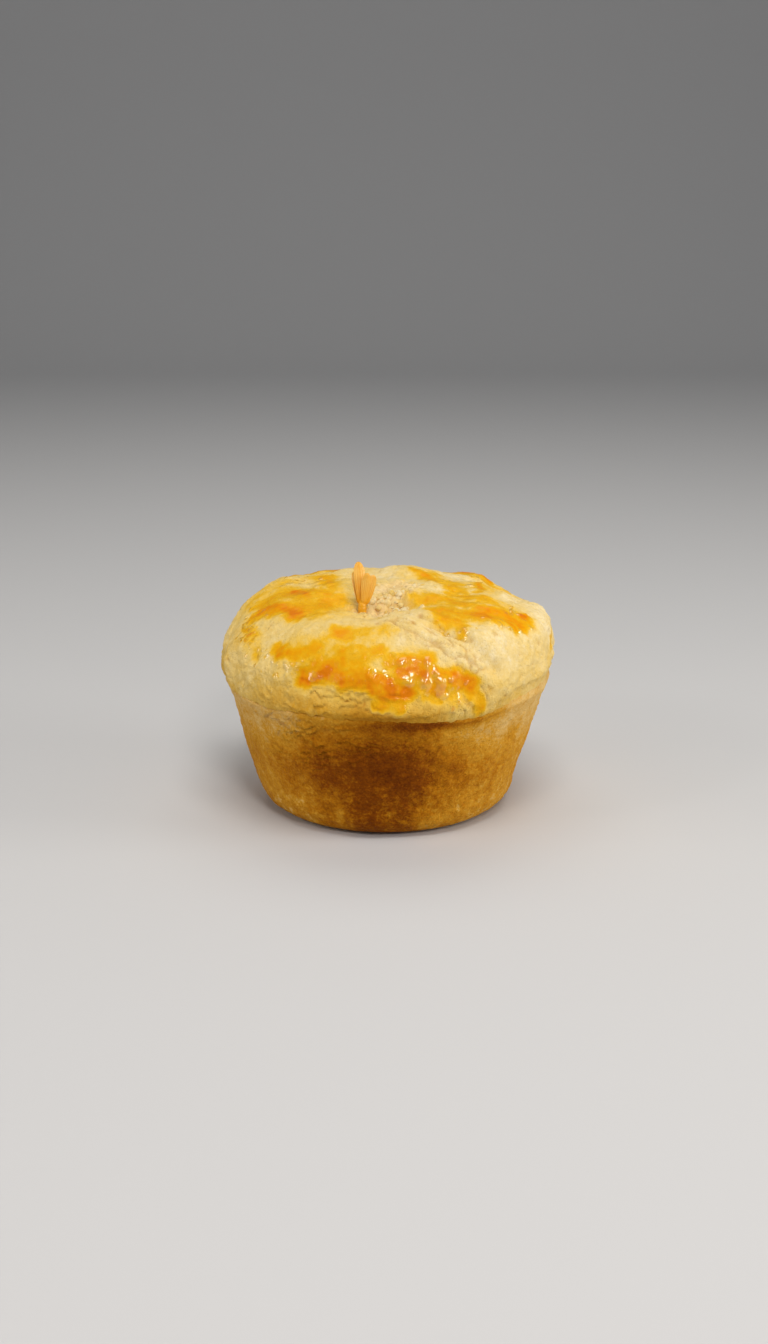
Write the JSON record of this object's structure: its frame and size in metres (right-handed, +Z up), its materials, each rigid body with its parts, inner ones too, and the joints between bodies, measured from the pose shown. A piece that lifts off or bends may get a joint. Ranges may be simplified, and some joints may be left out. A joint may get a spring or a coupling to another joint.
{
  "type": "shrimp empada",
  "caption": "Small round savoury pie with a flared moulded case, a domed lid brushed with egg wash and a shrimp's tail standing in the lid.",
  "frame": {"origin": "middle of the flat base that the pie rests on", "axes": "+Z up; -Y is the side where the lid's lip stands out most, which is the side shown in the picture; +X to the right seen from that side"},
  "size_m": [0.0761, 0.0771, 0.0594],
  "materials": {
    "baked_crust": "baked shortcrust: pale straw lid with glossy amber patches of egg wash, and a toasted golden-brown side, matt and finely crumbed",
    "cooked_shrimp": "cooked shrimp shell: orange, thin, half glossy, paler at the paddles' edges"
  },
  "bodies": {
    "root": {"crust": "baked_crust", "shrimp_tail": "cooked_shrimp"}
  },
  "joints": []
}
